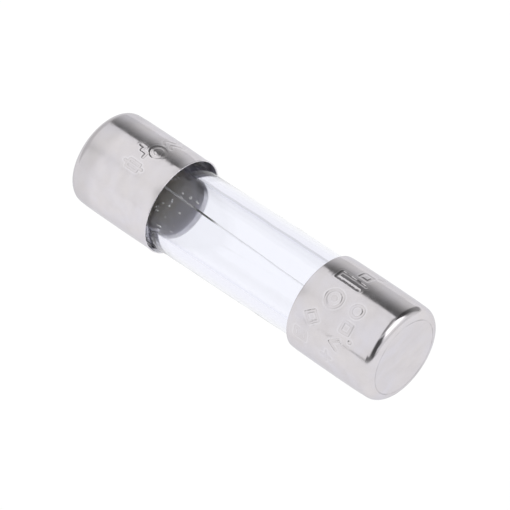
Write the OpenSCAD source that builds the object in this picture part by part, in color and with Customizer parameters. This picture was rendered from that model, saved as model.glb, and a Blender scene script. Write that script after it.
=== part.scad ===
// Glass cartridge fuse, 5 x 20 mm class.
// A glass tube is closed at both ends by drawn metal caps. A thin fuse wire crosses the bore on a
// slant, hooks over both ends of the tube, and is held in the caps by solder.
// Frame: the origin is the fuse's centre, +X runs along its axis to the right cap, +Z is up.

/* [End caps] */
// Length of the fuse over both end caps
fuse_length = 20; // [19.5:0.1:20.5]
// Outside diameter of the end caps
cap_diameter = 5.2; // [5:0.05:5.4]
// Length of one cap, from its open mouth to its closed end
cap_length = 5.3; // [4.5:0.1:6]
// Thickness of the drawn side wall
cap_wall = 0.14; // [0.1:0.01:0.18]
// Thickness of the closed end
cap_base = 0.2; // [0.16:0.02:0.3]
// Outside radius where the side wall turns into the closed end
cap_edge_radius = 0.5; // [0.4:0.05:0.6]

/* [Glass tube] */
// Gap between the tube and the side wall of a cap
tube_gap = 0.15; // [0.14:0.01:0.2]
// Thickness of the glass
tube_wall = 0.58; // [0.5:0.02:0.7]
// Radius melted onto the cut ends of the tube
tube_edge_radius = 0.12; // [0.08:0.01:0.14]

/* [Fuse wire] */
// Diameter of the wire
wire_diameter = 0.1; // [0.06:0.01:0.1]
// Angle about the fuse's axis of the plane that the wire lies in, in degrees
wire_roll = 125; // [0:5:180]
// Distance of that plane from the axis at the middle of the fuse
wire_offset = 0.22; // [0:0.02:0.5]
// Angle between that plane and the axis, in degrees
wire_skew = 1.4; // [0:0.2:2]
// Distance from the axis, measured in that plane, at which the wire turns along the bore
wire_entry = 0.7; // [0.4:0.1:1]
// Length of the tail folded back along the outside of the tube
wire_tail = 1.3; // [0.8:0.1:1.6]

/* [Solder] */
// Depth of solder between the end of the tube and the closed end of the cap
solder_depth = 0.3; // [0.25:0.05:0.5]
// How far the solder has crept along the gap round the tube
solder_creep = 1.6; // [1.4:0.1:2]
// How far the solder stands into the bore at the axis
solder_crown = 0.35; // [0.25:0.05:0.6]
// How far it stands into the bore at the glass
solder_rim = 0.12; // [0.1:0.02:0.2]

/* [Hidden] */
$fn = 180;

cap_radius = cap_diameter / 2;
cavity_radius = cap_radius - cap_wall;
cavity_edge_radius = cap_edge_radius - cap_wall;
closed_end = fuse_length / 2;
cavity_floor = closed_end - cap_base;
mouth = closed_end - cap_length;

tube_radius = cavity_radius - tube_gap;
bore_radius = tube_radius - tube_wall;
tube_end = cavity_floor - solder_depth;

wire_radius = wire_diameter / 2;
// Room between the wire and the glass it wraps round
wire_gap = 0.02;
wire_bend_radius = tube_edge_radius + wire_radius + wire_gap;
wire_end = tube_end + wire_radius + wire_gap;
tail_end = tube_end - wire_tail;
// A bend is this much thicker than the straight wire, which runs this far into it
bend_swell = 1.04;
bend_lap = wire_diameter / 5;

// Length that takes a cutting shape clear of the part
overcut = 1;

glass_colour = [0.90, 0.93, 1.00, 0.35];
nickel_colour = [0.72, 0.70, 0.70];
solder_colour = [0.55, 0.55, 0.58];
wire_colour = [0.80, 0.80, 0.82];

// Lays a shape drawn about +Z along +X (side = 1) or along -X (side = -1).
module along_axis(side = 1) {
    rotate([0, 90 * side, 0])
        children();
}

// Half section of a round cup's inside: straight wall, flat floor and a rounded corner between.
module cup_area(radius, floor_height, corner_radius, open_height) {
    translate([0, open_height])
        square([radius, floor_height - corner_radius - open_height]);
    translate([0, open_height])
        square([radius - corner_radius, floor_height - open_height]);
    translate([radius - corner_radius, floor_height - corner_radius])
        circle(r = corner_radius);
}

// One end cap: a drawn cup with an even wall, open towards the middle of the fuse.
module end_cap(side) {
    color(nickel_colour)
        along_axis(side)
            rotate_extrude()
                difference() {
                    cup_area(cap_radius, closed_end, cap_edge_radius, mouth);
                    cup_area(cavity_radius, cavity_floor, cavity_edge_radius, mouth - overcut);
                }
}

// Half section of the tube, with both edges of both cut ends rounded.
module tube_area() {
    straight_end = tube_end - tube_edge_radius;
    translate([bore_radius, -straight_end])
        square([tube_wall, 2 * straight_end]);
    translate([bore_radius + tube_edge_radius, -tube_end])
        square([tube_wall - 2 * tube_edge_radius, 2 * tube_end]);
    for (height = [-straight_end, straight_end])
        for (radius = [bore_radius + tube_edge_radius, tube_radius - tube_edge_radius])
            translate([radius, height])
                circle(r = tube_edge_radius);
}

module glass_tube() {
    color(glass_colour)
        along_axis()
            rotate_extrude()
                tube_area();
}

// Distance of the wire's plane from the axis at a place x along the fuse.
function plane_offset(x) = wire_offset - x * tan(wire_skew);

// Distance, measured in the wire's plane at x, out to a circle about the axis.
function across(radius, x) = sqrt(pow(radius, 2) - pow(plane_offset(x), 2));

// Where the wire's tail lies against the outside of the tube.
function outer_corner(x) = across(tube_radius + wire_radius + wire_gap, x);

// Corners of the wire's centre line in its own plane, from the left tail to the right tail.
wire_corners = [
    [-tail_end, -outer_corner(-tail_end)],
    [-wire_end, -outer_corner(-tail_end)],
    [-wire_end, -wire_entry],
    [wire_end, wire_entry],
    [wire_end, outer_corner(tail_end)],
    [tail_end, outer_corner(tail_end)]
];

function unit(angle) = [cos(angle), sin(angle)];
function heading(from, to) = atan2(to.y - from.y, to.x - from.x);
function wrapped(angle) = angle > 180 ? angle - 360 : angle < -180 ? angle + 360 : angle;

// A round wire along a line of corners in the XY plane, with a bend at each corner.
module bent_wire(corners, bend_radius) {
    last = len(corners) - 1;
    headings = [for (i = [0 : last - 1]) heading(corners[i], corners[i + 1])];
    turns = [
        for (i = [0 : last])
            i == 0 || i == last ? 0 : wrapped(headings[i] - headings[i - 1])
    ];
    trims = [for (turn = turns) bend_radius * tan(abs(turn) / 2)];
    laps = [for (turn = turns) turn == 0 ? 0 : bend_lap];

    for (i = [0 : last - 1]) {
        start = corners[i] + (trims[i] - laps[i]) * unit(headings[i]);
        length = norm(corners[i + 1] - corners[i]);
        translate([start.x, start.y, 0])
            rotate([0, 90, headings[i]])
                cylinder(d = wire_diameter, h = length - trims[i] - trims[i + 1] + laps[i] + laps[i + 1]);
    }
    for (i = [1 : last - 1]) {
        side = turns[i] > 0 ? 90 : -90;
        centre = corners[i] - trims[i] * unit(headings[i - 1])
            + bend_radius * unit(headings[i - 1] + side);
        first_angle = headings[i - 1] - side + min(turns[i], 0);
        translate([centre.x, centre.y, 0])
            rotate([0, 0, first_angle])
                rotate_extrude(angle = abs(turns[i]))
                    translate([bend_radius, 0])
                        circle(d = wire_diameter * bend_swell);
    }
}

module fuse_wire() {
    color(wire_colour)
        rotate([wire_roll, 0, 0])
            translate([0, 0, -wire_offset])
                rotate([0, -wire_skew, 0])
                    bent_wire(wire_corners, wire_bend_radius);
}

// Half section of the space the solder may fill in a cap, with the tube still in it.
module solder_area() {
    // The face in the bore is part of a sphere through solder_crown and solder_rim.
    rise = solder_crown - solder_rim;
    crown_radius = (pow(bore_radius, 2) + pow(rise, 2)) / (2 * rise);
    crown_top = tube_end - solder_crown;
    creep_end = tube_end - solder_creep;

    difference() {
        cup_area(cavity_radius, cavity_floor, cavity_edge_radius, creep_end);
        difference() {
            translate([0, creep_end - overcut])
                square([bore_radius, solder_creep + overcut]);
            translate([0, crown_top + crown_radius])
                circle(r = crown_radius);
        }
    }
}

// Solder at one end: it seats the tube, fills the gap round it and holds the hook of the wire.
module solder(side) {
    color(solder_colour)
        difference() {
            along_axis(side)
                rotate_extrude()
                    difference() {
                        solder_area();
                        tube_area();
                    }
            fuse_wire();
        }
}

glass_tube();
end_cap(-1);  // left_end_cap
end_cap(1);  // right_end_cap
fuse_wire();
solder(-1);  // left_solder
solder(1);  // right_solder
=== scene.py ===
"""Looks of a glass cartridge fuse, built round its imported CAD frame. Everything is in metres.

The fuse lies along X and the frame's origin is its centre. Places on the round pieces are given as x, a
radius and a turn: the angle about the X axis, from +Z towards +Y.
"""
import math

import bmesh
import bpy
import numpy as np
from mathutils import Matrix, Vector


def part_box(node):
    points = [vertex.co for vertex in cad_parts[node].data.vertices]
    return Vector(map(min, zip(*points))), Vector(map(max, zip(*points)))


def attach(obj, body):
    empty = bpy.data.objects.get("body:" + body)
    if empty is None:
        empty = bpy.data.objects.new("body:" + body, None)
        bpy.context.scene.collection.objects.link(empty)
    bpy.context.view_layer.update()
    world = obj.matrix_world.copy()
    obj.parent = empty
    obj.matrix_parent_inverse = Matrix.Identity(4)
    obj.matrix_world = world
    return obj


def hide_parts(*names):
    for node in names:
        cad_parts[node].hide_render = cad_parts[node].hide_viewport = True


MM = 0.001
FULL_TURN = 2 * math.pi
DEGREES = math.degrees(1)

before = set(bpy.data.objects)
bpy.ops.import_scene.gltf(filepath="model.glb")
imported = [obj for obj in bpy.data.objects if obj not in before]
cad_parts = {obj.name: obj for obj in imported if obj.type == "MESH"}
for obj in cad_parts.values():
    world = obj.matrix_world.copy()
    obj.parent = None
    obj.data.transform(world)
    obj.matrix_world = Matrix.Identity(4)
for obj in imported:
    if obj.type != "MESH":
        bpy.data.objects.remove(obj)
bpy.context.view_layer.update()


# Sizes read from the frame

def cad_points(node):
    """Every vertex of a CAD node, as an array of x, y, z rows."""
    return np.array([v.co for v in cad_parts[node].data.vertices], float)


def cad_radii(node):
    """Distance of every vertex of a CAD node from the fuse's axis."""
    points = cad_points(node)
    return np.hypot(points[:, 1], points[:, 2])


CLOSED_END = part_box("right_end_cap")[1].x
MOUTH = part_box("right_end_cap")[0].x
TUBE_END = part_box("glass_tube")[1].x
SOLDER_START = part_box("right_solder")[0].x
WIRE_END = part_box("fuse_wire")[1].x
CAP_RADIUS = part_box("right_end_cap")[1].z
TUBE_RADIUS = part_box("glass_tube")[1].z
BORE_RADIUS = cad_radii("glass_tube").min()
CAVITY_RADIUS = cad_radii("right_solder").max()
CAVITY_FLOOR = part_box("right_solder")[1].x
EDGE_RADIUS = 0.5 * MM
CAVITY_EDGE_RADIUS = EDGE_RADIUS - (CAP_RADIUS - CAVITY_RADIUS)


# Mesh helpers

def add_mesh(name, points, faces):
    """A new smooth-shaded object in the scene, with its normals facing outwards."""
    mesh = bpy.data.meshes.new(name)
    mesh.from_pydata(points.tolist(), [], faces)
    builder = bmesh.new()
    builder.from_mesh(mesh)
    bmesh.ops.recalc_face_normals(builder, faces=builder.faces)
    builder.to_mesh(mesh)
    builder.free()
    mesh.shade_smooth()
    piece = bpy.data.objects.new(name, mesh)
    bpy.context.scene.collection.objects.link(piece)
    return piece


def store_values(piece, name, values):
    """Keeps a number for each point of a piece, for its material."""
    piece.data.attributes.new(name, "FLOAT", "POINT").data.foreach_set("value", values)


def quads(rows, columns, first=0, close_rows=False):
    """Faces of a grid of points whose columns run all the way round, from the point numbered first."""
    faces = []
    for i in range(rows if close_rows else rows - 1):
        a, b = first + i * columns, first + (i + 1) % rows * columns
        faces += [(a + j, a + (j + 1) % columns, b + (j + 1) % columns, b + j) for j in range(columns)]
    return faces


def fan(centre, first, columns):
    """Triangles from one point to a whole row of a grid, from the row's first point."""
    return [(centre, first + j, first + (j + 1) % columns) for j in range(columns)]


def capped_faces(rows, columns, first=0):
    """Faces of a grid closed at its first and last row by the two points that follow it."""
    end = first + rows * columns
    return quads(rows, columns, first) + fan(end, first, columns) + fan(end + 1, end - columns, columns)


def all_round(count, whole=FULL_TURN):
    """Evenly spaced angles from 0 to just short of a whole turn, or of the angle given."""
    return np.linspace(0, whole, count, endpoint=False)


def grid(profile, columns):
    """The x and the radius of a profile's points, each repeated for every column."""
    profile = np.array(profile)
    return np.repeat(profile[:, :1], columns, 1), np.repeat(profile[:, 1:], columns, 1)


def around(x, radius, turns):
    """Points at x and radius, both arrays of rows by columns, at one turn for each column."""
    turns = np.broadcast_to(turns, x.shape)
    return np.stack([x, radius * np.sin(turns), radius * np.cos(turns)], -1).reshape(-1, 3)


def arc(centre_x, centre_r, radius, start, end, steps):
    """Profile points on a round corner, by angle: 0 faces +X and 90 faces away from the axis."""
    angles = np.radians(np.linspace(start, end, steps))
    return [(centre_x + radius * math.cos(a), centre_r + radius * math.sin(a)) for a in angles]


def line(start, end, steps):
    """Profile points evenly spaced from start to end, leaving out both."""
    start, end = np.array(start), np.array(end)
    return [tuple(start + (end - start) * k / (steps + 1)) for k in range(1, steps + 1)]


RIPPLE_WAVES = 7
RIPPLE_STRETCHES = (0.6, 1.6)


def ripple(x, turns, seed, amplitude, wavelength):
    """A smooth, uneven field that joins up with itself round the axis."""
    rng = np.random.default_rng(seed)
    total = np.zeros(np.broadcast(x, turns).shape)
    for k in range(1, RIPPLE_WAVES + 1):
        phase_turn, phase_x = rng.uniform(0, FULL_TURN, 2)
        stretched = wavelength * rng.uniform(*RIPPLE_STRETCHES)
        along = np.sin(FULL_TURN * x / stretched * math.sqrt(k) + phase_x)
        total += np.sin(k * turns + phase_turn + along) * along / math.sqrt(k)
    return amplitude * total / 2


def smooth_step(low, high, value):
    """0 at low, 1 at high, and a smooth step between."""
    t = np.clip((value - low) / (high - low), 0, 1)
    return t * t * (3 - 2 * t)


# Stamped marks on the caps: plain shapes, drawn as lines in a box about one unit high and wide.
# The first coordinate runs along the fuse and the second round it.

def ring(radius, sides=28):
    """A circle round the middle of the box."""
    return [(radius * math.cos(a), radius * math.sin(a)) for a in np.linspace(0, FULL_TURN, sides)]


def wave(height, length, middle=0):
    """One wave that runs round the cap, about a middle line."""
    shares = np.linspace(0, 1, 24)
    return [(height * math.sin(FULL_TURN * t) + middle, length * (t - 0.5)) for t in shares]


def box_line(length, width):
    """A rectangle's outline."""
    a, b = length / 2, width / 2
    return [(-a, -b), (a, -b), (a, b), (-a, b), (-a, -b)]


SYMBOLS = {
    "fuse": [box_line(0.66, 0.4), [(-0.55, 0), (0.55, 0)]],
    "ring": [ring(0.4)],
    "ring_dot": [ring(0.42), ring(0.08, 8)],
    "wave": [wave(0.28, 1.0)],
    "double_wave": [wave(0.2, 1.0, -0.2), wave(0.2, 1.0, 0.25)],
    "diamond": [[(-0.45, 0), (0, 0.38), (0.45, 0), (0, -0.38), (-0.45, 0)]],
    "square": [box_line(0.62, 0.62)],
    "chevron": [[(0.35, -0.4), (-0.35, 0), (0.35, 0.4)]],
    "step": [[(-0.42, -0.3), (-0.42, 0.1), (0.1, 0.1), (0.1, 0.42), (0.45, 0.42)]],
    "bracket": [[(0.42, -0.14), (-0.45, -0.14), (-0.45, 0.12), (0.5, 0.12)]],
    "dot": [ring(0.05, 8)],
    "ladder": [box_line(0.8, 0.5), [(-0.13, -0.25), (-0.13, 0.25)], [(0.13, -0.25), (0.13, 0.25)]],
    "cross": [[(-0.4, 0), (0.4, 0)], [(0, -0.4), (0, 0.4)]],
}

# (symbol, distance of its centre from the middle of the fuse, its turn in degrees, its height)
LEFT_MARKS = [
    ("fuse", 6.84 * MM, -27, 1.0 * MM),
    ("step", 7.0 * MM, -9, 0.7 * MM),
    ("ring", 6.36 * MM, 2, 0.95 * MM),
    ("double_wave", 6.3 * MM, 27, 1.0 * MM),
]
RIGHT_MARKS = [
    ("bracket", 6.4 * MM, 3, 1.6 * MM),
    ("square", 6.7 * MM, 21, 0.8 * MM),
    ("wave", 7.1 * MM, 40, 0.8 * MM),
    ("ring_dot", 6.45 * MM, -25, 1.08 * MM),
    ("diamond", 5.95 * MM, -54, 0.9 * MM),
    ("ladder", 5.6 * MM, -80, 0.85 * MM),
    ("ring", 7.86 * MM, -23, 0.8 * MM),
    ("square", 7.88 * MM, -44, 0.8 * MM),
    ("dot", 8.4 * MM, -55, 0.6 * MM),
    ("chevron", 7.6 * MM, -66, 0.7 * MM),
    ("cross", 7.3 * MM, -86, 0.7 * MM),
]
MARK_REACH = 0.8
STROKE_WIDTH = 0.15 * MM
STROKE_EDGE = 0.05 * MM
STROKE_WOBBLE = 0.018 * MM
STROKE_WOBBLE_LENGTH = 0.9 * MM
BURR_HEIGHT = 0.005 * MM
BURR_WIDTH = 0.07 * MM
DENT_DEPTH = 0.006 * MM
DENT_WIDTH = 0.22 * MM
STAMP_STRENGTH = 0.7
STAMP_SWING = 0.5
STAMP_SWING_LENGTH = 1.6 * MM
WEAKEST_STAMP = 0.2


def distance_to_line(x, y, corners):
    """Distance of each point from a line through corners."""
    best = np.full(x.shape, np.inf)
    for (ax, ay), (bx, by) in zip(corners, corners[1:]):
        length_squared = (bx - ax) ** 2 + (by - ay) ** 2
        t = np.clip(((x - ax) * (bx - ax) + (y - ay) * (by - ay)) / length_squared, 0, 1)
        best = np.minimum(best, np.hypot(x - ax - t * (bx - ax), y - ay - t * (by - ay)))
    return best


def distance_to_marks(x, turns, marks, seed):
    """Distance of each point of a cap from the nearest stroke of its marks, whose lines wobble slightly."""
    distance = np.full(x.shape, np.inf)
    wobble_x = ripple(x, 4 * turns, seed + 31, STROKE_WOBBLE, STROKE_WOBBLE_LENGTH)
    wobble_turn = ripple(x, 4 * turns, seed + 32, STROKE_WOBBLE, STROKE_WOBBLE_LENGTH)
    for symbol, centre, turn, height in marks:
        along = (x + wobble_x - centre) / height
        round_it = ((turns - math.radians(turn)) * CAP_RADIUS + wobble_turn) / height
        near = (abs(along) < MARK_REACH) & (abs(round_it) < MARK_REACH)
        for corners in SYMBOLS[symbol]:
            from_line = distance_to_line(along[near], round_it[near], corners) * height
            distance[near] = np.minimum(distance[near], from_line)
    return distance


def stamped(x, turns, marks, seed, depth):
    """How far the marks move a cap's surface in (-) or out (+) at each point, and their painted shade (-) on
    the groove walls and painted highlight (+) on the burrs.
    """
    edge = distance_to_marks(x, turns, marks, seed) - STROKE_WIDTH / 2
    groove = 1 - smooth_step(-STROKE_EDGE, STROKE_EDGE / 2, edge)
    burr = smooth_step(0, BURR_WIDTH / 2, edge) * (1 - smooth_step(BURR_WIDTH / 2, 2 * BURR_WIDTH, edge))
    dent = 1 - smooth_step(0, DENT_WIDTH, edge)
    swing = ripple(x, 3 * turns, seed + 33, STAMP_SWING, STAMP_SWING_LENGTH)
    strength = np.clip(STAMP_STRENGTH + swing, WEAKEST_STAMP, 1)
    height = strength * (BURR_HEIGHT * burr - depth * groove) - DENT_DEPTH * dent
    # Painted shade on the groove walls (-) and painted highlight on the burrs (+), for the plate's colour.
    stamp_shading = strength * (burr - 4 * groove * (1 - groove))
    return height, stamp_shading


# Pieces

LIP_RADIUS = 0.03 * MM
LIP_BEVEL = 0.07 * MM
LIP_BEVEL_LENGTH = 0.28 * MM
FLARE_LENGTH = 0.5 * MM
BARREL = 0.02 * MM
TAPER_START = 8.5 * MM
TAPER_DEPTH = 0.018 * MM
TAPER_ANGLE = 2
FINE_STEP = 0.023 * MM
COARSENESS = 3
MARKED_FROM = 5.0 * MM
MARKED_TO = 8.6 * MM
MARKS_MARGIN = math.radians(10)
SKIN_SWELL = 0.0022 * MM
SKIN_SWELL_LENGTH = 5 * MM
SKIN_RIPPLE = 0.0005 * MM
SKIN_RIPPLE_LENGTH = 1.6 * MM
WALL_MARGIN = 0.01 * MM
DISH_DEPTH = 0.02 * MM
END_WALL_MARGIN = 0.1 * MM
LINING_SLOT = 1
CUT_EDGE_SLOT = 2


def cap_profile():
    """A cap's section from the axis inside to the axis outside, and how many rows are lining and inside."""
    inner_corner = (CAVITY_FLOOR - CAVITY_EDGE_RADIUS, CAVITY_RADIUS - CAVITY_EDGE_RADIUS)
    outer_corner = (CLOSED_END - EDGE_RADIUS, CAP_RADIUS - EDGE_RADIUS)
    lip = (MOUTH + LIP_RADIUS, CAVITY_RADIUS + LIP_BEVEL + LIP_RADIUS)
    bevel = (MOUTH + LIP_BEVEL_LENGTH, CAVITY_RADIUS)
    inside = line((CAVITY_FLOOR, 0), (CAVITY_FLOOR, inner_corner[1]), steps=4)
    inside += arc(*inner_corner, CAVITY_EDGE_RADIUS, 0, 90, steps=8)
    inside += line((inner_corner[0], CAVITY_RADIUS), bevel, steps=12)
    lining_rows = len(inside)
    inside += line(bevel, (lip[0], CAVITY_RADIUS + LIP_BEVEL), steps=4)
    inside += arc(*lip, LIP_RADIUS, 270, 180, steps=5)
    outside = arc(lip[0], CAP_RADIUS - LIP_RADIUS, LIP_RADIUS, 180, 90, steps=6)
    outside += line((lip[0], CAP_RADIUS), (MARKED_FROM, CAP_RADIUS), steps=8)
    fine_rows = round((MARKED_TO - MARKED_FROM) / FINE_STEP)
    outside += line((MARKED_FROM, CAP_RADIUS), (MARKED_TO, CAP_RADIUS), fine_rows)
    outside += line((MARKED_TO, CAP_RADIUS), (outer_corner[0], CAP_RADIUS), steps=10)
    outside += arc(*outer_corner, EDGE_RADIUS, 90 - TAPER_ANGLE, 0, steps=18)
    outside += line((CLOSED_END, outer_corner[1]), (CLOSED_END, 0), steps=8)
    return inside + outside, lining_rows, len(inside)


def cap_turns(marks):
    """Turns of a cap's columns: fine where the marks are and coarser elsewhere."""
    low = math.radians(min(turn for _, _, turn, _ in marks)) - MARKS_MARGIN
    high = math.radians(max(turn for _, _, turn, _ in marks)) + MARKS_MARGIN
    fine = round((high - low) * CAP_RADIUS / FINE_STEP)
    coarse = round(fine / COARSENESS)
    return np.concatenate([
        np.linspace(low, high, fine, endpoint=False),
        np.linspace(high, low + FULL_TURN, coarse, endpoint=False)])


def cap_surface(profile, inside_rows, turns, marks, seed, flare, depth):
    """The x, radius and painted stamp shade and highlight of every point of a cap: flare, barrel, taper,
    drawn skin, marks and dish.
    """
    x, base_radius = grid(profile, len(turns))
    radius = base_radius.copy()
    outside = (np.arange(len(profile)) >= inside_rows)[:, None]

    near_mouth = 1 - np.clip((x - MOUTH) / FLARE_LENGTH, 0, 1)
    radius += flare * near_mouth ** 2 * (base_radius > TUBE_RADIUS)
    along = np.clip((x - MOUTH) / (CLOSED_END - MOUTH), 0, 1)
    radius += BARREL * np.sin(math.pi * along) * outside * (base_radius / CAP_RADIUS)
    to_end = np.clip((x - TAPER_START) / (CLOSED_END - EDGE_RADIUS - TAPER_START), 0, 1)
    radius -= TAPER_DEPTH * to_end ** 2 * outside * (base_radius / CAP_RADIUS)

    side_wall = (base_radius > CAVITY_RADIUS - WALL_MARGIN) & (x < CLOSED_END - EDGE_RADIUS)
    radius += ripple(x, turns, seed, SKIN_SWELL, SKIN_SWELL_LENGTH) * side_wall
    radius += ripple(x, 3 * turns, seed + 20, SKIN_RIPPLE, SKIN_RIPPLE_LENGTH) * side_wall
    height, stamp_shading = stamped(x, turns, marks, seed, depth)
    radius += height * (outside & side_wall)

    flat_radius = CAP_RADIUS - EDGE_RADIUS
    on_end = (x > CAVITY_FLOOR + END_WALL_MARGIN) & (base_radius < flat_radius)
    sunk = DISH_DEPTH * (1 - (base_radius / flat_radius) ** 2) * on_end
    return x - sunk, radius, stamp_shading * (outside & side_wall)


def end_cap(name, side, marks, seed, flare, depth, tone, end_tone):
    """One drawn cap, with its lip, stamped marks, unevenness and slightly dished closed end."""
    profile, lining_rows, inside_rows = cap_profile()
    turns = cap_turns(marks)
    x, radius, stamp_shading = cap_surface(profile, inside_rows, turns, marks, seed, flare, depth)
    rows, columns = x.shape
    middles = [(side * CAVITY_FLOOR, 0, 0), (side * (CLOSED_END - DISH_DEPTH), 0, 0)]
    points = np.vstack([around(side * x, radius, turns), middles])
    piece = add_mesh(name, points, capped_faces(rows, columns))
    store_values(piece, "stamp_shading", np.append(stamp_shading.ravel(), (0, 0)))
    piece.data.materials.append(nickel("nickel_outside_" + name, seed, tone, end_tone))
    piece.data.materials.append(cap_inside("nickel_inside_" + name, seed))
    piece.data.materials.append(cut_edge("nickel_cut_edge_" + name, seed))
    inner_fan = (rows - 1) * columns
    lining = [*range(lining_rows * columns), *range(inner_fan, inner_fan + columns)]
    lip = range(lining_rows * columns, (inside_rows - 1) * columns)
    for slot, indices in ((LINING_SLOT, lining), (CUT_EDGE_SLOT, lip)):
        for index in indices:
            piece.data.polygons[index].material_index = slot
    return piece


TUBE_CORNER = 0.12 * MM
TUBE_COLUMNS = 384
TUBE_LEAN = 0.0135
LEAN_TURN = math.radians(54.7)
THICKENING = 0.04 * MM
SEATED_FROM = 5.2 * MM
SEATED_TO = 7.6 * MM
BORE_WAVINESS = 0.005 * MM
BORE_WAVE_LENGTH = 6 * MM
TUBE_WAVINESS = 0.0006 * MM
TUBE_WAVE_LENGTH = 9 * MM


def free_share(x):
    """1 where the tube is free between the caps, falling to 0 where it is seated in them."""
    return 1 - smooth_step(SEATED_FROM, SEATED_TO, abs(x))


def tube_lean(points):
    """Moves points of the tube sideways: it lies very slightly askew between the caps."""
    x = points[:, 0]
    shift = TUBE_LEAN * x * free_share(x)
    return points + shift[:, None] * np.array([0, math.sin(LEAN_TURN), math.cos(LEAN_TURN)])


def tube_profile():
    """The tube wall's section, from the right end's outer edge round the bore and back along the outside."""
    wall_top, wall_bottom = TUBE_RADIUS - TUBE_CORNER, BORE_RADIUS + TUBE_CORNER
    end = TUBE_END - TUBE_CORNER
    profile = arc(end, wall_top, TUBE_CORNER, 90, 0, steps=7)
    profile += line((TUBE_END, wall_top), (TUBE_END, wall_bottom), steps=2)
    profile += arc(end, wall_bottom, TUBE_CORNER, 0, -90, steps=7)
    profile += line((end, BORE_RADIUS), (-end, BORE_RADIUS), steps=90)
    profile += arc(-end, wall_bottom, TUBE_CORNER, -90, -180, steps=7)
    profile += line((-TUBE_END, wall_bottom), (-TUBE_END, wall_top), steps=2)
    profile += arc(-end, wall_top, TUBE_CORNER, 180, 90, steps=7)
    profile += line((-end, TUBE_RADIUS), (end, TUBE_RADIUS), steps=90)
    return profile


def glass_tube():
    """The tube, with both cut ends melted round and the slight waviness of drawn glass."""
    profile = tube_profile()
    turns = all_round(TUBE_COLUMNS)
    x, radius = grid(profile, TUBE_COLUMNS)
    in_bore = smooth_step(TUBE_RADIUS, BORE_RADIUS, radius)
    bore_change = ripple(x, turns, 11, BORE_WAVINESS, BORE_WAVE_LENGTH) - THICKENING * free_share(x)
    radius += bore_change * in_bore
    radius += ripple(x, turns, 12, TUBE_WAVINESS, TUBE_WAVE_LENGTH) * (1 - in_bore)
    points = tube_lean(around(x, radius, turns))
    piece = add_mesh("glass_tube_visual", points, quads(len(profile), TUBE_COLUMNS, close_rows=True))
    store_values(piece, "outer", 1 - in_bore.ravel())
    piece.data.materials.append(clear_glass())
    return piece


WIRE_SIDES = 16
WIRE_BEND = 0.19 * MM
WIRE_STEP = 0.12 * MM
TAIL_CLEARANCE = 0.3 * MM
SWAY = 0.006 * MM
SWAY_LENGTH = 2.6 * MM
SWAY_FADE = 1.5 * MM
SWAY_PHASES = (0, 6.3)
SWAY_WAVES = 5
WIRE_UNEVENNESS = 0.04
WIRE_UNEVEN_RATES = (1.7, 0.31)


def wire_plane():
    """The plane the CAD wire lies in: its unit normal, and its distance from the origin along it."""
    points = cad_points("fuse_wire")
    middle = points.mean(0)
    normal = np.linalg.svd(points - middle)[2][2]
    return normal, float(middle @ normal)


def wire_radius():
    """The wire's mean radius, so that its thickest places are as thick as the CAD wire."""
    normal, offset = wire_plane()
    return abs(cad_points("fuse_wire") @ normal - offset).max() / (1 + WIRE_UNEVENNESS)


def wire_axes(normal, points):
    """Unit directions in the wire's plane: mostly along the fuse, and the way its right end leans."""
    along = np.array([1, 0, 0]) - normal[0] * normal
    along /= np.linalg.norm(along)
    across = np.cross(normal, along)
    if ((points @ along) * (points @ across)).sum() < 0:
        across = -across
    return along, across


def wire_centre_line():
    """Points along the wire's centre line: tail, hook over the tube's end, span, hook and tail."""
    normal, offset = wire_plane()
    points = cad_points("fuse_wire")
    along, across = wire_axes(normal, points)
    radius = wire_radius()
    reach_x = WIRE_END - radius
    tail_x = SOLDER_START + TAIL_CLEARANCE
    is_span = (cad_radii("fuse_wire") < BORE_RADIUS) & (abs(points[:, 0]) < reach_x - WIRE_BEND / 2)
    corners = []
    for side in (-1, 1):
        on_side = side * points[:, 0] > 0
        outer = side * ((side * points[on_side] @ across).max() - radius)
        span = points[on_side & is_span]
        inner = side * (span @ across).mean() / span[:, 0].mean() * reach_x
        half = [(side * tail_x, outer), (side * reach_x, outer), (side * reach_x, inner)]
        corners += half[::-side]
    return np.array([normal * offset + along * a + across * b for a, b in rounded_path(corners, WIRE_BEND)])


def rounded_path(corners, bend):
    """A line through corners with each corner turned on a curve, as closely spaced points."""
    corners = [np.array(c, float) for c in corners]
    path = [corners[0]]
    for before, corner, after in zip(corners, corners[1:], corners[2:]):
        into, out = before - corner, after - corner
        start = corner + into / np.linalg.norm(into) * bend
        end = corner + out / np.linalg.norm(out) * bend
        path += [(1 - t) ** 2 * start + 2 * t * (1 - t) * corner + t * t * end for t in np.linspace(0, 1, 9)]
    path.append(corners[-1])
    spaced = [path[0]]
    for a, b in zip(path, path[1:]):
        steps = max(1, round(np.linalg.norm(b - a) / WIRE_STEP))
        spaced += [a + (b - a) * k / steps for k in range(1, steps + 1)]
    return spaced


def kinked(path):
    """The wire's path, swaying very slightly where the wire was handled."""
    rng = np.random.default_rng(5)
    x = path[:, 0].copy()
    inside = smooth_step(0, SWAY_FADE, WIRE_END - abs(x))
    for axis in (1, 2):
        for k in range(1, SWAY_WAVES + 1):
            wave_k = np.sin(k * x / SWAY_LENGTH + rng.uniform(*SWAY_PHASES)) / math.sqrt(k)
            path[:, axis] += SWAY * wave_k * inside
    return path


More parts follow.
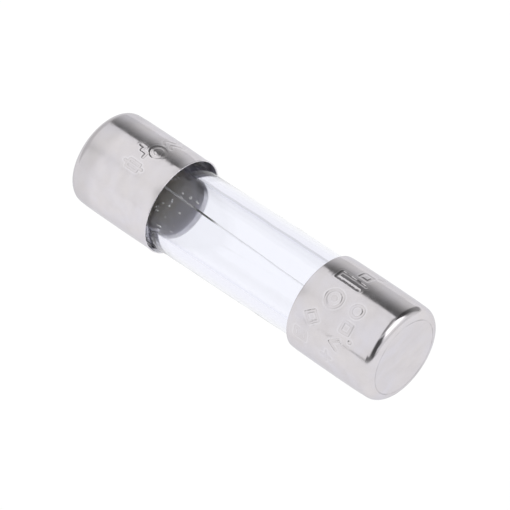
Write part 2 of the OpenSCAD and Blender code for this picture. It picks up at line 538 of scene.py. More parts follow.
def fuse_wire():
    """The thin wire, very slightly kinked and uneven in thickness."""
    path = kinked(wire_centre_line())
    count = len(path)
    tangent = np.gradient(path, axis=0)
    tangent /= np.linalg.norm(tangent, axis=1)[:, None]
    side = np.cross(tangent, wire_plane()[0])
    side /= np.linalg.norm(side, axis=1)[:, None]
    up = np.cross(side, tangent)
    fast, slow = (np.sin(np.arange(count) * rate) for rate in WIRE_UNEVEN_RATES)
    radius = wire_radius() * (1 + WIRE_UNEVENNESS * fast * slow)
    angles = all_round(WIRE_SIDES)[None, :, None]
    outwards = np.cos(angles) * side[:, None] + np.sin(angles) * up[:, None]
    rings = path[:, None] + radius[:, None, None] * outwards
    points = np.vstack([rings.reshape(-1, 3), path[:1], path[-1:]])
    piece = add_mesh("fuse_wire_visual", points, capped_faces(count, WIRE_SIDES))
    piece.data.materials.append(tinned_wire())
    return piece


SOLDER_COLUMNS = 160
SOLDER_CLEARANCE = 0.004 * MM
POOL_SHARES = (0.04, 0.99)
POOL_CROWN_SHARE = 0.4
WALL_TOLERANCE = 0.02 * MM
POOL_LUMPS = 0.02 * MM
POOL_LUMP_LENGTH = 2.5 * MM
CREEP_REACH = 1 * MM
CREEP = 0.25 * MM
CREEP_LENGTH = 9 * MM


def solder_pool(name):
    """Section of the pool's front in the bore, from near the axis to the wall, as in the CAD."""
    radii, points = cad_radii(name), cad_points(name)
    crown = abs(points[radii < POOL_CROWN_SHARE * BORE_RADIUS, 0]).min()
    rim = abs(points[abs(radii - BORE_RADIUS) < WALL_TOLERANCE, 0]).min()
    shares = np.linspace(*POOL_SHARES, 26)
    return [(rim - (rim - crown) * math.cos(t * math.pi / 2) ** 2, BORE_RADIUS * t) for t in shares]


def solder_profile(name):
    """The solder's section: the pool, round the tube's end, a skin along the gap and back along the cap."""
    gap = SOLDER_CLEARANCE
    tube_end = TUBE_END - TUBE_CORNER
    profile = solder_pool(name)
    profile += arc(tube_end, BORE_RADIUS + TUBE_CORNER, TUBE_CORNER + gap, -80, 0, steps=7)
    profile += arc(tube_end, TUBE_RADIUS - TUBE_CORNER, TUBE_CORNER + gap, 0, 90, steps=7)
    profile += line((tube_end, TUBE_RADIUS + gap), (SOLDER_START, TUBE_RADIUS + gap), steps=14)
    tip_radius = (CAVITY_RADIUS - TUBE_RADIUS) / 2 - gap
    profile += arc(SOLDER_START, TUBE_RADIUS + gap + tip_radius, tip_radius, 270, 90, steps=7)
    corner = (CAVITY_FLOOR - CAVITY_EDGE_RADIUS, CAVITY_RADIUS - CAVITY_EDGE_RADIUS)
    profile += line((SOLDER_START, CAVITY_RADIUS - gap), (corner[0], CAVITY_RADIUS - gap), steps=14)
    profile += arc(*corner, CAVITY_EDGE_RADIUS - gap, 90, 0, steps=8)
    profile += line((CAVITY_FLOOR - gap, corner[1]), (CAVITY_FLOOR - gap, 0), steps=6)
    return profile


def solder(name, side, seed):
    """Solder at one end: a lumpy pool in the bore, and a skin between the tube and the cap."""
    turns = all_round(SOLDER_COLUMNS)
    x, radius = grid(solder_profile(name), SOLDER_COLUMNS)
    in_pool = smooth_step(0, 0.5, 1 - radius / BORE_RADIUS) * (x < TUBE_END)
    x += ripple(radius * 3, turns, seed, POOL_LUMPS, POOL_LUMP_LENGTH) * in_pool
    creeps = (x < SOLDER_START + CREEP_REACH) & (radius > TUBE_RADIUS)
    x += creeps * ripple(x, turns, seed + 1, CREEP, CREEP_LENGTH)
    middles = [(side * x[0].mean(), 0, 0), (side * (CAVITY_FLOOR - SOLDER_CLEARANCE), 0, 0)]
    points = np.vstack([around(side * x, radius, turns), middles])
    piece = add_mesh(name + "_visual", points, capped_faces(*x.shape))
    piece.data.materials.append(dull_solder("dull_" + name, seed))
    return piece


BEAD_SIZES = (0.02 * MM, 0.065 * MM)
BEAD_STRETCHES = (0.8, 2.2)
BEAD_HEIGHT = 0.55
BEAD_SUNK = 0.2
BEAD_ROWS = 5
BEAD_COLUMNS = 14


def bead(centre, out, size, stretch):
    """Points of one low dome on a wall, with out the way into it: rows, middle of the base, and top."""
    along = np.array([1.0, 0, 0])
    round_it = np.cross(out, along)
    points = []
    for slope in all_round(BEAD_ROWS, math.pi / 2):
        for a in all_round(BEAD_COLUMNS):
            level = stretch * math.cos(a) * along + math.sin(a) * round_it
            rise = BEAD_HEIGHT * math.sin(slope) * out
            points.append(centre + size * (math.cos(slope) * level - rise))
    return points + [centre, centre - BEAD_HEIGHT * size * out]


def place_on_bore(x, out, inset):
    """The point at x on the bore's wall in direction out, set in towards the axis."""
    point = np.array([x, 0, 0]) + out * (BORE_RADIUS - THICKENING * free_share(x) - inset)
    return tube_lean(point[None, :])[0]


def place_on_cap(x, out, inset):
    """The point at x on the inside of a cap in direction out, set in towards the axis."""
    return np.array([x, 0, 0]) + out * (CAVITY_RADIUS - inset)


# Groups of beads: how many, what they lie on, and ranges of distance from the fuse's middle and of degrees
BEAD_GROUPS = [
    (30, place_on_bore, (4.8 * MM, 7.2 * MM), (95, 220)),
    (16, place_on_cap, (4.8 * MM, 5.2 * MM), (190, 275)),
]


def flux_beads():
    """Beads of flux spattered on the bore's wall in the left cap, and in the gap round the tube."""
    rng = np.random.default_rng(21)
    points, faces = [], []
    for count, place_on, distances, degrees in BEAD_GROUPS:
        for _ in range(count):
            x = -rng.uniform(*distances)
            turn = math.radians(rng.uniform(*degrees))
            size = rng.uniform(*BEAD_SIZES)
            stretch = rng.uniform(*BEAD_STRETCHES)
            out = np.array([0, math.sin(turn), math.cos(turn)])
            centre = place_on(x, out, BEAD_SUNK * size)
            faces += capped_faces(BEAD_ROWS, BEAD_COLUMNS, len(points))
            points += bead(centre, out, size, stretch)
    piece = add_mesh("flux_beads", np.array(points), faces)
    piece.data.materials.append(flux())
    return piece


FILM_COLUMNS = 96
FILM_ROWS = 20
FILM_START = math.radians(203)
FILM_END = math.radians(284)
FILM_CLEARANCE = 0.004 * MM
FILM_FRONT = MOUTH + 0.6 * MM
FILM_RECESS = 0.3 * MM
FILM_LENGTHS = (0.02 * MM, 0.27 * MM)
FILM_UNEVENNESS = 0.06 * MM
FILM_WAVE_LENGTH = 3 * MM


def film_faces(rows, columns):
    """Faces of a band whose columns run along it, closed at both ends by the two points after them."""
    faces = []
    for i in range(rows):
        a, b = i * columns, (i + 1) % rows * columns
        faces += [(a + j, a + j + 1, b + j + 1, b + j) for j in range(columns - 1)]
        faces.append((rows * columns, a, b))
        faces.append((rows * columns + 1, b + columns - 1, a + columns - 1))
    return faces


def flux_film():
    """A patch of flux in the gap between the tube and the left cap, with an uneven front."""
    turns = np.linspace(FILM_START, FILM_END, FILM_COLUMNS)
    share = np.sin(math.pi * (turns - FILM_START) / (FILM_END - FILM_START)) ** 0.5
    tube_side = TUBE_RADIUS + TUBE_LEAN * SEATED_FROM
    half = (CAVITY_RADIUS - tube_side) / 2 - FILM_CLEARANCE
    section = all_round(FILM_ROWS)[:, None]
    front = FILM_FRONT + (1 - share) * FILM_RECESS
    front += ripple(front, 4 * turns, 23, FILM_UNEVENNESS, FILM_WAVE_LENGTH)
    length = FILM_LENGTHS[0] + (FILM_LENGTHS[1] - FILM_LENGTHS[0]) * share
    x = front + half + length * (np.cos(section) < 0) - half * np.cos(section)
    radius = (CAVITY_RADIUS + tube_side) / 2 + half * np.sin(section) * np.ones(FILM_COLUMNS)
    points = around(-x, radius, turns)
    band = points.reshape(FILM_ROWS, FILM_COLUMNS, 3)
    points = np.vstack([points, band[:, 0].mean(0), band[:, -1].mean(0)])
    piece = add_mesh("flux_film", points, film_faces(FILM_ROWS, FILM_COLUMNS))
    piece.data.materials.append(flux())
    return piece


# Material helpers

def new_material(name):
    """A new material, its node tree and its one shader."""
    material = bpy.data.materials.new(name)
    material.use_nodes = True
    tree = material.node_tree
    tree.nodes.clear()
    output = tree.nodes.new("ShaderNodeOutputMaterial")
    shader = tree.nodes.new("ShaderNodeBsdfPrincipled")
    tree.links.new(shader.outputs[0], output.inputs["Surface"])
    return material, tree, shader


def set_inputs(node, values):
    """Gives inputs of a node their plain numbers or colours, by name."""
    for name, value in values.items():
        node.inputs[name].default_value = value


def maths(tree, operation, *values):
    """One maths node: its values are numbers or outputs of other nodes."""
    node = tree.nodes.new("ShaderNodeMath")
    node.operation = operation
    for socket, value in zip(node.inputs, values):
        if isinstance(value, (int, float)):
            socket.default_value = value
        else:
            tree.links.new(value, socket)
    return node.outputs[0]


def product(tree, first, second):
    """One value times another."""
    return maths(tree, "MULTIPLY", first, second)


def rest_of(tree, share):
    """What a share leaves of 1."""
    return maths(tree, "SUBTRACT", 1, share)


def spread(tree, value, low, high, start=0.3, end=0.7):
    """Maps start to end onto low to high: a noise's middle range, unless told otherwise."""
    node = tree.nodes.new("ShaderNodeMapRange")
    set_inputs(node, {"From Min": start, "From Max": end, "To Min": low, "To Max": high})
    tree.links.new(value, node.inputs["Value"])
    return node.outputs[0]


def ramp(tree, value, start, end):
    """0 below start, 1 above end, with a smooth step between."""
    output = spread(tree, value, 0, 1, start, end)
    output.node.interpolation_type = "SMOOTHSTEP"
    return output


def window(tree, value, low, high, soft_low, soft_high):
    """1 between low and high, falling to 0 over the soft widths outside them."""
    rise = ramp(tree, value, low - soft_low, low)
    fall = ramp(tree, value, high, high + soft_high)
    return product(tree, rise, rest_of(tree, fall))


NOISE_OFFSETS = (3.1, 1.7, 2.3)


def noise(tree, size, detail=3, stretch=(1, 1, 1), seed=0):
    """Noise from 0 to 1 whose blotches are about size across, stretched along the axes given."""
    position = tree.nodes.new("ShaderNodeTexCoord")
    mapping = tree.nodes.new("ShaderNodeMapping")
    location = [seed * share for share in NOISE_OFFSETS]
    set_inputs(mapping, {"Scale": [1 / (size * s) for s in stretch], "Location": location})
    texture = tree.nodes.new("ShaderNodeTexNoise")
    set_inputs(texture, {"Scale": 1, "Detail": detail})
    tree.links.new(position.outputs["Object"], mapping.inputs["Vector"])
    tree.links.new(mapping.outputs[0], texture.inputs["Vector"])
    return texture.outputs["Fac"]


def split(tree, coordinate):
    """The x, y and z of each shaded point, or of each direction of the sky, in the coordinate named."""
    position = tree.nodes.new("ShaderNodeTexCoord")
    axes = tree.nodes.new("ShaderNodeSeparateXYZ")
    tree.links.new(position.outputs[coordinate], axes.inputs[0])
    return axes.outputs


def stored(tree, name):
    """A number kept for each point of the piece by store_values."""
    node = tree.nodes.new("ShaderNodeAttribute")
    node.attribute_name = name
    return node.outputs["Fac"]


def blend_colours(tree, share, first, second):
    """Mixes two colours, each a triple or another node's output, by a share from 0 to 1."""
    node = tree.nodes.new("ShaderNodeMix")
    node.data_type = "RGBA"
    for socket, colour in ((node.inputs[6], first), (node.inputs[7], second)):
        if isinstance(colour, tuple):
            socket.default_value = (*colour, 1)
        else:
            tree.links.new(colour, socket)
    tree.links.new(share, node.inputs["Factor"])
    return node.outputs[2]


def haze(tree, shader, size, detail, seed, roughness):
    """Roughness that varies over a range, in blotches about size across."""
    value = spread(tree, noise(tree, size, detail, seed=seed), *roughness)
    tree.links.new(value, shader.inputs["Roughness"])


def bump(tree, shader, heights):
    """Adds fine relief: heights is a list of (0 to 1 value, its depth in metres)."""
    normal = None
    for value, depth in heights:
        node = tree.nodes.new("ShaderNodeBump")
        node.inputs["Distance"].default_value = depth
        tree.links.new(value, node.inputs["Height"])
        if normal is not None:
            tree.links.new(normal, node.inputs["Normal"])
        normal = node.outputs[0]
    tree.links.new(normal, shader.inputs["Normal"])


# Materials. A zone is a ramp's low and high in metres, or a window's low, high and two soft widths.

PLATE_COOL = (0.722, 0.700, 0.745)
PLATE_WARM = (0.735, 0.703, 0.715)
PLATE_FILM = (0.68, 0.65, 0.665)
# Painted shade for the walls of stamped grooves, and painted highlight for their burrs.
PLATE_GROOVE_SHADE = (0.655, 0.627, 0.638)
PLATE_BURR_HIGHLIGHT = (0.785, 0.763, 0.79)
PLATE_EDGE_TINT = (0.8, 0.8, 0.82, 1)
PLATE_ROUGHNESS = (0.07, 0.2)
BLACK = (0, 0, 0)
END_TONE_ZONE = (8.2 * MM, 8.95 * MM)
# A painted shade line at the rim of the closed end, where a punched edge would cast a thin shadow.
RIM_SHADE_ZONE = (CAP_RADIUS - 0.55 * MM, CAP_RADIUS - 0.53 * MM, 0.05 * MM, 0.04 * MM)
RIM_SHADE_END_ZONE = (9.8 * MM, 9.9 * MM)
RIM_SHADE_SHARES = (0.02, 0.36)


def rim_shade_line(tree, x, y, z, seed):
    """How much painted shade darkens the faint ring at the rim of a cap's closed end, standing in for the
    thin shadow at a punched edge.
    """
    radius = maths(tree, "SQRT", maths(tree, "ADD", product(tree, y, y), product(tree, z, z)))
    on_ring = window(tree, radius, *RIM_SHADE_ZONE)
    on_ring = product(tree, on_ring, ramp(tree, maths(tree, "ABSOLUTE", x), *RIM_SHADE_END_ZONE))
    blotches = noise(tree, 1.1 * MM, 4, seed=seed + 6)
    return product(tree, on_ring, spread(tree, blotches, *RIM_SHADE_SHARES, 0.35, 0.6))


def nickel(name, seed, tone, end_tone):
    """Bright nickel plate with faint warm and cool patches, haze and handling marks, painted shade and
    highlights at the stamped marks, and a painted shade line at the rim of the closed end.
    """
    material, tree, shader = new_material(name)
    patches = spread(tree, noise(tree, 1.3 * MM, 5, seed=seed), 0, 1, 0.35, 0.65)
    plate = blend_colours(tree, patches, PLATE_COOL, PLATE_WARM)
    film = spread(tree, noise(tree, 0.7 * MM, 5, (1, 1.6, 1), seed=seed + 4), 0, 1, 0.4, 0.8)
    plate = blend_colours(tree, film, plate, PLATE_FILM)
    # Painted shade darkens the stamped grooves' walls and a painted highlight lightens their burrs.
    stamp_shading = stored(tree, "stamp_shading")
    plate = blend_colours(tree, spread(tree, stamp_shading, 1, 0, -1, 0), plate, PLATE_GROOVE_SHADE)
    plate = blend_colours(tree, spread(tree, stamp_shading, 0, 1, 0, 1), plate, PLATE_BURR_HIGHLIGHT)
    x, y, z = split(tree, "Object")
    at_end = ramp(tree, maths(tree, "ABSOLUTE", x), *END_TONE_ZONE)
    level = product(tree, rest_of(tree, product(tree, at_end, 1 - end_tone)), tone)
    # Painted shade: a patchy dark ring line at the rim of the closed end.
    level = product(tree, level, rest_of(tree, rim_shade_line(tree, x, y, z, seed)))
    tree.links.new(blend_colours(tree, level, BLACK, plate), shader.inputs["Base Color"])
    set_inputs(shader, {"Metallic": 1, "Specular Tint": PLATE_EDGE_TINT})
    haze(tree, shader, 0.5 * MM, 6, seed + 1, PLATE_ROUGHNESS)
    bump(tree, shader, [
        (noise(tree, 0.45 * MM, 2, seed=seed + 2), 0.0022 * MM),
        (noise(tree, 0.12 * MM, 3, seed=seed + 5), 0.0003 * MM),
        (noise(tree, 0.03 * MM, 3, (4, 1, 1), seed=seed + 3), 0.00008 * MM)])
    return material


# Painted shade for the top and front of each mouth, inside the cap and on its cut edge.
MOUTH_SHADE = (0.22, 0.215, 0.23)
INSIDE_EDGE_TINT = (0.6, 0.6, 0.62, 1)
LINING = (0.92, 0.91, 0.95)
LINING_STAINED = (0.76, 0.72, 0.60)
LINING_ROUGHNESS = (0.3, 0.45)
LINING_METALLIC = 0.99
LINING_DULLNESS = 0.06
LINING_BELOW_ZONE = (0.2 * MM, 1.7 * MM)
LINING_FRONT_ZONE = (1.2 * MM, 1.7 * MM)
STAIN_ZONE = (6.0 * MM, 7.6 * MM)
STAIN_UNEVENNESS = 1.2 * MM
LINING_SHADE_ZONE = (-5.6 * MM, -5.0 * MM)


def unshaded_below(tree, y, z, below_zone, front_zone):
    """1 on the lower part of a mouth, 0 on its top and front, which get painted shade."""
    below = ramp(tree, product(tree, z, -1), *below_zone)
    in_front = ramp(tree, product(tree, y, -1), *front_zone)
    return product(tree, below, rest_of(tree, in_front))


def cap_inside(name, seed):
    """The unpolished inside of a cap: stained brown further in, with painted shade on its top and front near
    the mouth.
    """
    material, tree, shader = new_material(name)
    x, y, z = split(tree, "Object")
    distance = maths(tree, "ABSOLUTE", x)
    patches = noise(tree, 0.9 * MM, 4, seed=seed + 7)
    depth = maths(tree, "ADD", distance, product(tree, patches, STAIN_UNEVENNESS))
    metal = blend_colours(tree, ramp(tree, depth, *STAIN_ZONE), LINING, LINING_STAINED)
    unshaded = unshaded_below(tree, y, z, LINING_BELOW_ZONE, LINING_FRONT_ZONE)
    near_mouth = ramp(tree, product(tree, distance, -1), *LINING_SHADE_ZONE)
    # Painted shade on the top and front of the lining near the mouth.
    top_shade = product(tree, near_mouth, rest_of(tree, unshaded))
    metallic = maths(tree, "SUBTRACT", LINING_METALLIC, product(tree, unshaded, LINING_DULLNESS))
    tree.links.new(metallic, shader.inputs["Metallic"])
    tree.links.new(blend_colours(tree, top_shade, metal, MOUTH_SHADE), shader.inputs["Base Color"])
    set_inputs(shader, {"Specular Tint": INSIDE_EDGE_TINT})
    haze(tree, shader, 0.3 * MM, 5, seed + 8, LINING_ROUGHNESS)
    bump(tree, shader, [(noise(tree, 0.5 * MM, 2, seed=seed + 9), 0.002 * MM)])
    return material


BARE_METAL = (1.0, 0.99, 0.99)
BARE_METAL_DRAGGED = (0.88, 0.87, 0.87)
BARE_DULLNESS = 0.85
EDGE_ROUGHNESS = (0.35, 0.6)
EDGE_BELOW_ZONE = (-0.1 * MM, 0.8 * MM)
EDGE_FRONT_ZONE = (1.75 * MM, 2.15 * MM)
EDGE_FACE_ZONE = (0.03 * MM, 0.06 * MM)


def cut_edge(name, seed):
    """The cut edge of a cap's mouth: bare, dragged metal, with painted shade on its bevel at the top and
    front of the mouth.
    """
    material, tree, shader = new_material(name)
    drag = spread(tree, noise(tree, 0.1 * MM, 4, (3, 1, 1), seed=seed + 10), 0, 1)
    x, y, z = split(tree, "Object")
    behind_face = maths(tree, "SUBTRACT", maths(tree, "ABSOLUTE", x), MOUTH)
    on_face = rest_of(tree, ramp(tree, behind_face, *EDGE_FACE_ZONE))
    unshaded = maths(tree, "MAXIMUM", unshaded_below(tree, y, z, EDGE_BELOW_ZONE, EDGE_FRONT_ZONE), on_face)
    tree.links.new(rest_of(tree, product(tree, unshaded, BARE_DULLNESS)), shader.inputs["Metallic"])
    bare = blend_colours(tree, drag, BARE_METAL, BARE_METAL_DRAGGED)
    # Painted shade on the top and front of the cut edge; bare metal below.
    tree.links.new(blend_colours(tree, unshaded, MOUTH_SHADE, bare), shader.inputs["Base Color"])
    set_inputs(shader, {"Specular Tint": INSIDE_EDGE_TINT})
    haze(tree, shader, 0.15 * MM, 4, seed + 11, EDGE_ROUGHNESS)
    bump(tree, shader, [(noise(tree, 0.08 * MM, 3, seed=seed + 12), 0.003 * MM)])
    return material


GLASS = (0.948, 0.954, 0.994)
GLASS_PALER = (0.952, 0.957, 0.994)
GLASS_RIM = (0.80, 0.807, 0.92)
GLASS_RIM_EDGE = (0.80, 0.807, 0.86)
RIM_FACING = (0.32, 0.4)
RIM_EDGE_FACING = (0.5, 0.75)
GLASS_IOR = 1.475


def clear_glass():
    """Clear glass with a faint cool tint, deeper where it is seen edge on."""
    material, tree, shader = new_material("clear_glass")
    tint = spread(tree, noise(tree, 3 * MM, 2, seed=31), 0, 1)
    body = blend_colours(tree, tint, GLASS, GLASS_PALER)
    view = tree.nodes.new("ShaderNodeLayerWeight")
    edge_on = product(tree, view.outputs["Facing"], stored(tree, "outer"))
    rim = blend_colours(tree, ramp(tree, edge_on, *RIM_EDGE_FACING), GLASS_RIM, GLASS_RIM_EDGE)
    colour = blend_colours(tree, ramp(tree, edge_on, *RIM_FACING), body, rim)
    tree.links.new(colour, shader.inputs["Base Color"])
    set_inputs(shader, {"IOR": GLASS_IOR, "Transmission Weight": 1, "Roughness": 0})
    bump(tree, shader, [(noise(tree, 1.2 * MM, 1, (5, 1, 1), seed=32), 0.0006 * MM)])
    return material


WIRE_BRIGHT = (0.98, 0.98, 0.98)
WIRE_TARNISHED = (0.92, 0.92, 0.91)
# Painted dark reflection of the left cap, on the wire just outside that cap.
WIRE_DARK_REFLECTION = (0.22, 0.215, 0.21)
WIRE_COATED = (0.72, 0.71, 0.70)
COATED_ZONE = (3.95 * MM, 4.5 * MM)
DARK_REFLECTION_ZONE = (-3.85 * MM, -3.1 * MM, 0.2 * MM, 0.9 * MM)
WIRE_ROUGHNESS = (0.02, 0.06)
COATED_DULLNESS = 0.6
COATED_ROUGHNESS = 0.4


def tinned_wire():
    """Bright drawn wire with die lines, a painted dark reflection of the left cap just outside it, and
    coated dull inside the caps.
    """
    material, tree, shader = new_material("tinned_wire")
    tarnish = spread(tree, noise(tree, 0.4 * MM, 4, seed=41), 0, 1)
    x, _, _ = split(tree, "Object")
    coated = ramp(tree, maths(tree, "ABSOLUTE", x), *COATED_ZONE)
    tree.links.new(rest_of(tree, product(tree, coated, COATED_DULLNESS)), shader.inputs["Metallic"])
    colour = blend_colours(tree, tarnish, WIRE_BRIGHT, WIRE_TARNISHED)
    # Painted dark reflection of the left cap on a short stretch of the wire.
    colour = blend_colours(tree, window(tree, x, *DARK_REFLECTION_ZONE), colour, WIRE_DARK_REFLECTION)
    tree.links.new(blend_colours(tree, coated, colour, WIRE_COATED), shader.inputs["Base Color"])
    polish = spread(tree, noise(tree, 0.15 * MM, 3, seed=42), *WIRE_ROUGHNESS)
    roughness = maths(tree, "ADD", polish, product(tree, coated, COATED_ROUGHNESS))
    tree.links.new(roughness, shader.inputs["Roughness"])
    bump(tree, shader, [(noise(tree, 0.02 * MM, 2, (20, 1, 1), seed=43), 0.0001 * MM)])
    return material


SOLDER_GREY = (0.52, 0.51, 0.48)
SOLDER_BROWN = (0.42, 0.40, 0.34)
SOLDER_ROUGHNESS = (0.25, 0.55)


def dull_solder(name, seed):
    """Frosty grey solder with shiny patches and a grainy skin."""
    material, tree, shader = new_material(name)
    grain = spread(tree, noise(tree, 0.25 * MM, 6, seed=seed), 0, 1)
    set_inputs(shader, {"Metallic": 1})
    tree.links.new(blend_colours(tree, grain, SOLDER_GREY, SOLDER_BROWN), shader.inputs["Base Color"])
    haze(tree, shader, 0.4 * MM, 4, seed + 1, SOLDER_ROUGHNESS)
    bump(tree, shader, [(noise(tree, 0.12 * MM, 5, seed=seed + 2), 0.006 * MM)])
    return material


FLUX_CLEAR = (0.95, 0.94, 0.93)
FLUX_CLOUDY = (0.85, 0.82, 0.76)
FLUX_ROUGHNESS = (0.1, 0.3)
FLUX_IOR = 1.5


def flux():
    """Hardened, slightly cloudy flux."""
    material, tree, shader = new_material("flux")
    cloud = spread(tree, noise(tree, 0.05 * MM, 3, seed=51), 0, 1)
    tree.links.new(blend_colours(tree, cloud, FLUX_CLEAR, FLUX_CLOUDY), shader.inputs["Base Color"])
    haze(tree, shader, 0.03 * MM, 2, 52, FLUX_ROUGHNESS)
    set_inputs(shader, {"IOR": FLUX_IOR})
    return material


# Stage

WHITE = (1, 1, 1, 1)
FLOOR_SIZE = 3.0
FLOOR_SHADES = ((0.02, 0.02, 0.02), (0.03, 0.03, 0.03))
FLOOR_GLOW = 1.0


def add_floor():
    """A plain pale floor under the caps, lit from within so that it stays an even white."""
    half = FLOOR_SIZE / 2
    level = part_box("right_end_cap")[0].z
    corners = [(-half, -half, level), (half, -half, level), (half, half, level), (-half, half, level)]
    floor = add_mesh("floor", np.array(corners), [(0, 1, 2, 3)])
    material, tree, shader = new_material("floor_white")
    shade = spread(tree, noise(tree, 40 * MM, 2, seed=61), 0, 1)
    tree.links.new(blend_colours(tree, shade, *FLOOR_SHADES), shader.inputs["Base Color"])
    set_inputs(shader, {"Emission Color": WHITE, "Emission Strength": FLOOR_GLOW})
    set_inputs(shader, {"Roughness": 1, "Specular IOR Level": 0})
    floor.data.materials.append(material)


SKY_LIGHT = 1.0
# The gap behind the fuse lies beyond the overhead sheet's back edge, given by two directions along it.
OVERHEAD_EDGE = ((-0.476, 0.460, 0.750), (-0.046, 0.372, 0.927))
EDGE_SHARPNESS = (-0.02, 0.05)
EDGE_RAISED = 0.015
# Steps in the edge's height along its length: the x where each starts and ends, and its size
EDGE_STEPS = [(-0.497, -0.466, 0.08), (-0.458, -0.44, -0.03)]
GAP_HEADING = 98
GAP_WIDTH = (-38, 50, 14, 30)
GAP_LIGHT = 0.78
GAP_DARKENING = 0.64
GAP_DARKENING_HEIGHTS = (4, 48)
DEEPEST_WIDTH = (-23, 6, 8, 8)
DEEPEST_SHARE = 0.55
# The arm is a strip across the zenith: the heading of its normal, its width, and how high it starts.
ARM_HEADING = math.radians(28)
ARM_WIDTH = (-0.12, 0.12, 0.1, 0.1)
ARM_HEIGHTS = (58, 68)
ARM_LIGHT = 0.35
# Patches of the sky, each laid over the ones before: its heading in degrees left of +X, a window of degrees
# left of that, a window of degrees above the horizon, and its light. Windows have two soft widths each.
SKY_PATCHES = [
    ("bright panel", 15, (-38, 40, 10, 10), (46, 63, 15, 9), 1.93),
    ("opening for the lens", -50, (-16, 18, 26, 20), (6, 50, 7, 16), 0.09),
    ("opening's tail", -80, (-22, 20, 8, 10), (5, 12, 5, 6), 0.22),
    ("line at the floor", -80, (-34, 10, 4, 10), (0.5, 3, 2, 2), 0.5),
    ("ledge", 15, (-45, 40, 10, 10), (9, 19, 6, 8), 0.82),
    ("dim far side", 180, (-28, 38, 16, 14), (4, 34, 8, 20), 0.73),
]


def mixed(tree, light, target, share):
    """Light moved towards target by share."""
    return maths(tree, "ADD", light, product(tree, maths(tree, "SUBTRACT", target, light), share))


def bearing(tree, x, y, heading):
    """Degrees left of a heading that is itself given in degrees left of +X."""
    c, s = math.cos(math.radians(heading)), math.sin(math.radians(heading))
    ahead = maths(tree, "ADD", product(tree, x, c), product(tree, y, s))
    left = maths(tree, "SUBTRACT", product(tree, y, c), product(tree, x, s))
    return product(tree, maths(tree, "ARCTAN2", left, ahead), DEGREES)


def beyond_overhead(tree, x, y, z):
    """How far a direction is beyond the overhead sheet's back edge, with the edge's sag."""
    edge_normal = Vector(OVERHEAD_EDGE[0]).cross(Vector(OVERHEAD_EDGE[1])).normalized()
    beyond = -EDGE_RAISED
    for axis, share in zip((x, y, z), edge_normal):
        beyond = maths(tree, "ADD", beyond, product(tree, axis, share))
    for start, end, rise in EDGE_STEPS:
        beyond = maths(tree, "ADD", beyond, product(tree, ramp(tree, x, start, end), rise))
    return beyond


def gap_behind(tree, x, y, z, height):
    """The light of the dark gap behind the fuse, and how much of it each direction sees."""
    sideways = bearing(tree, x, y, GAP_HEADING)
    darkening = product(tree, ramp(tree, height, *GAP_DARKENING_HEIGHTS), GAP_DARKENING)
    light = maths(tree, "SUBTRACT", GAP_LIGHT, darkening)
    deepest = product(tree, window(tree, sideways, *DEEPEST_WIDTH), DEEPEST_SHARE)
    light = product(tree, light, rest_of(tree, deepest))
    beyond = ramp(tree, beyond_overhead(tree, x, y, z), *EDGE_SHARPNESS)
    return light, product(tree, window(tree, sideways, *GAP_WIDTH), beyond)


def arm_overhead(tree, x, y, height):
    """How much of the dark arm that crosses above the fuse each direction sees."""
    x_part, y_part = product(tree, x, math.cos(ARM_HEADING)), product(tree, y, math.sin(ARM_HEADING))
    beside_arm = maths(tree, "ADD", x_part, y_part)
    return product(tree, window(tree, beside_arm, *ARM_WIDTH), ramp(tree, height, *ARM_HEIGHTS))


def add_sky():
    """A white tent with a bright panel, a dark gap behind the fuse and a few darker patches."""
    world = bpy.data.worlds.new("studio")
    bpy.context.scene.world = world
    world.use_nodes = True
    tree = world.node_tree
    tree.nodes.clear()
    x, y, z = split(tree, "Generated")
    height = product(tree, maths(tree, "ARCSINE", z), DEGREES)

    light = mixed(tree, SKY_LIGHT, *gap_behind(tree, x, y, z, height))
    for _, heading, sideways, upwards, patch_light in SKY_PATCHES:
        beside = window(tree, bearing(tree, x, y, heading), *sideways)
        light = mixed(tree, light, patch_light, product(tree, beside, window(tree, height, *upwards)))
    light = mixed(tree, light, ARM_LIGHT, arm_overhead(tree, x, y, height))

    seen = tree.nodes.new("ShaderNodeLightPath")
    light = mixed(tree, light, SKY_LIGHT, seen.outputs["Is Camera Ray"])
    background = tree.nodes.new("ShaderNodeBackground")
    set_inputs(background, {"Color": WHITE})
    tree.links.new(light, background.inputs["Strength"])
    output = tree.nodes.new("ShaderNodeOutputWorld")
    tree.links.new(background.outputs[0], output.inputs["Surface"])


CAMERA_AZIMUTH = math.radians(43.33)
CAMERA_HEIGHT = math.radians(45.81)
CAMERA_DISTANCE = 0.2526
CAMERA_LENS = 366.5
CAMERA_SENSOR = 36
CAMERA_SHIFT = (0.0067, -0.0015)
CAMERA_CLIP = (0.01, 10)


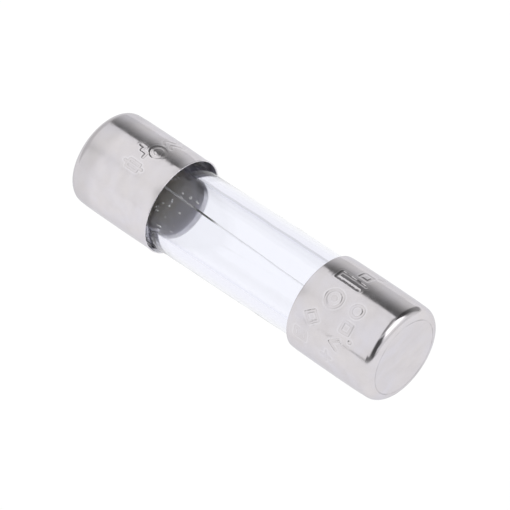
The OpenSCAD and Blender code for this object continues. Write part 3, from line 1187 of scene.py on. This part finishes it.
def add_camera():
    """A long lens from the right, the front and above, aimed at the middle of the fuse."""
    level = Vector((math.sin(CAMERA_AZIMUTH), -math.cos(CAMERA_AZIMUTH), 0))
    back = level * math.cos(CAMERA_HEIGHT) + Vector((0, 0, math.sin(CAMERA_HEIGHT)))
    data = bpy.data.cameras.new("camera")
    data.lens = CAMERA_LENS
    data.sensor_width = CAMERA_SENSOR
    data.shift_x, data.shift_y = CAMERA_SHIFT
    data.clip_start, data.clip_end = CAMERA_CLIP
    camera = bpy.data.objects.new("camera", data)
    camera.location = back * CAMERA_DISTANCE
    camera.rotation_mode = "QUATERNION"
    camera.rotation_quaternion = (-back).to_track_quat("-Z", "Y")
    bpy.context.scene.collection.objects.link(camera)
    bpy.context.scene.camera = camera


GLASS_BOUNCES = 24
GLOSSY_BOUNCES = 12
BRIGHTEST_BOUNCE = 4


def set_up_view():
    """Plain colours, and enough bounces for light to pass in and out of the tube."""
    scene = bpy.context.scene
    scene.view_settings.view_transform = "Standard"
    scene.view_settings.look = "None"
    scene.cycles.max_bounces = GLASS_BOUNCES
    scene.cycles.transmission_bounces = GLASS_BOUNCES
    scene.cycles.glossy_bounces = GLOSSY_BOUNCES
    scene.cycles.sample_clamp_indirect = BRIGHTEST_BOUNCE
    scene.cycles.blur_glossy = 0


def place(piece, slot, *nodes):
    """Puts a piece on the fuse's one body, in place of the CAD nodes it stands for."""
    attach(piece, "root")
    if nodes:
        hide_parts(*nodes)


place(glass_tube(), "clear_glass", "glass_tube")
left_cap = end_cap(
    "left_end_cap_visual", side=-1, marks=LEFT_MARKS, seed=3,
    flare=0.03 * MM, depth=0.011 * MM, tone=0.98, end_tone=0.88)
place(left_cap, "cap_nickel", "left_end_cap")
right_cap = end_cap(
    "right_end_cap_visual", side=1, marks=RIGHT_MARKS, seed=8,
    flare=-0.02 * MM, depth=0.014 * MM, tone=0.95, end_tone=1.0)
place(right_cap, "cap_nickel", "right_end_cap")
place(fuse_wire(), "tinned_wire", "fuse_wire")
place(solder("left_solder", side=-1, seed=13), "solder", "left_solder")
place(solder("right_solder", side=1, seed=17), "solder", "right_solder")
place(flux_beads(), "solder")
place(flux_film(), "solder")
add_floor()
add_sky()
add_camera()
set_up_view()
